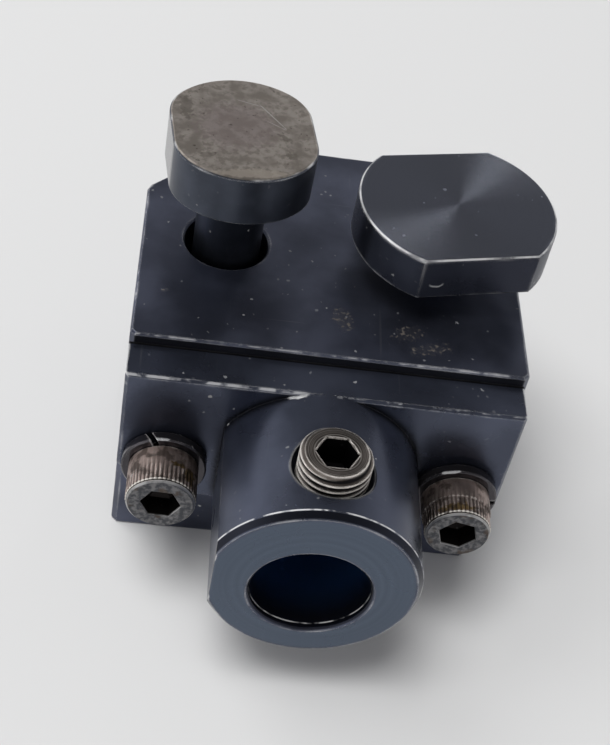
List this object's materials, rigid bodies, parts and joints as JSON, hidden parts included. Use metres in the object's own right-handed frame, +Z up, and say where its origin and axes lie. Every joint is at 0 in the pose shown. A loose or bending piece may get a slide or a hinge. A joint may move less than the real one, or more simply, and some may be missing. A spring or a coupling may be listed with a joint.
{
  "type": "turning tool holder",
  "caption": "Steel block for a machine's tool slide: a round boss with a straight bore holds the tool's shank under a set screw, and T-bolts stand in the block's holes.",
  "frame": {"origin": "on the block's underside, midway between the axes of its two T-bolt holes", "axes": "+Z up, out of the face the T-bolts' heads stand over; -Y to the front, along the tool bore and out of its mouth; +X to the right, from one T-bolt hole to the other"},
  "size_m": [0.0567, 0.07, 0.0588],
  "materials": {
    "block_steel": "black oxide, satin, edges worn bright",
    "holder_steel": "black oxide, satin, edges worn bright",
    "set_screw_steel": "worn black oxide, bright thread crests",
    "cap_screw_steel": "worn black oxide with brown rust in the knurl",
    "washer_steel": "black, oily",
    "ground_bolt_steel": "ground, stained",
    "turned_bolt_steel": "turned, blackened, edges worn bright"
  },
  "bodies": {
    "block": {"block": "block_steel", "bar_holder": "holder_steel", "spring_washer_left": "washer_steel", "spring_washer_right": "washer_steel"},
    "left_bolt": {"t_bolt_left": "ground_bolt_steel"},
    "right_bolt": {"t_bolt_right": "turned_bolt_steel"},
    "left_screw": {"cap_screw_left": "cap_screw_steel"},
    "right_screw": {"cap_screw_right": "cap_screw_steel"},
    "lock_screw": {"set_screw": "set_screw_steel"}
  },
  "joints": [
    {"name": "left_bolt_slide", "type": "slide", "parent": "block", "child": "left_bolt", "axis": [0, 0, 1], "range_m": [-0.0118, 0.04]},
    {"name": "right_bolt_slide", "type": "slide", "parent": "block", "child": "right_bolt", "axis": [0, 0, 1], "range_m": [-0.0049, 0.04]},
    {"name": "left_screw_out", "type": "slide", "parent": "block", "child": "left_screw", "axis": [0, -1, 0], "range_m": [0, 0.0205]},
    {"name": "right_screw_out", "type": "slide", "parent": "block", "child": "right_screw", "axis": [0, -1, 0], "range_m": [0, 0.0205]},
    {"name": "lock_screw_turn_in", "type": "slide", "parent": "block", "child": "lock_screw", "axis": [0, 0, 1], "range_m": [-0.0006, 0.008]}
  ]
}
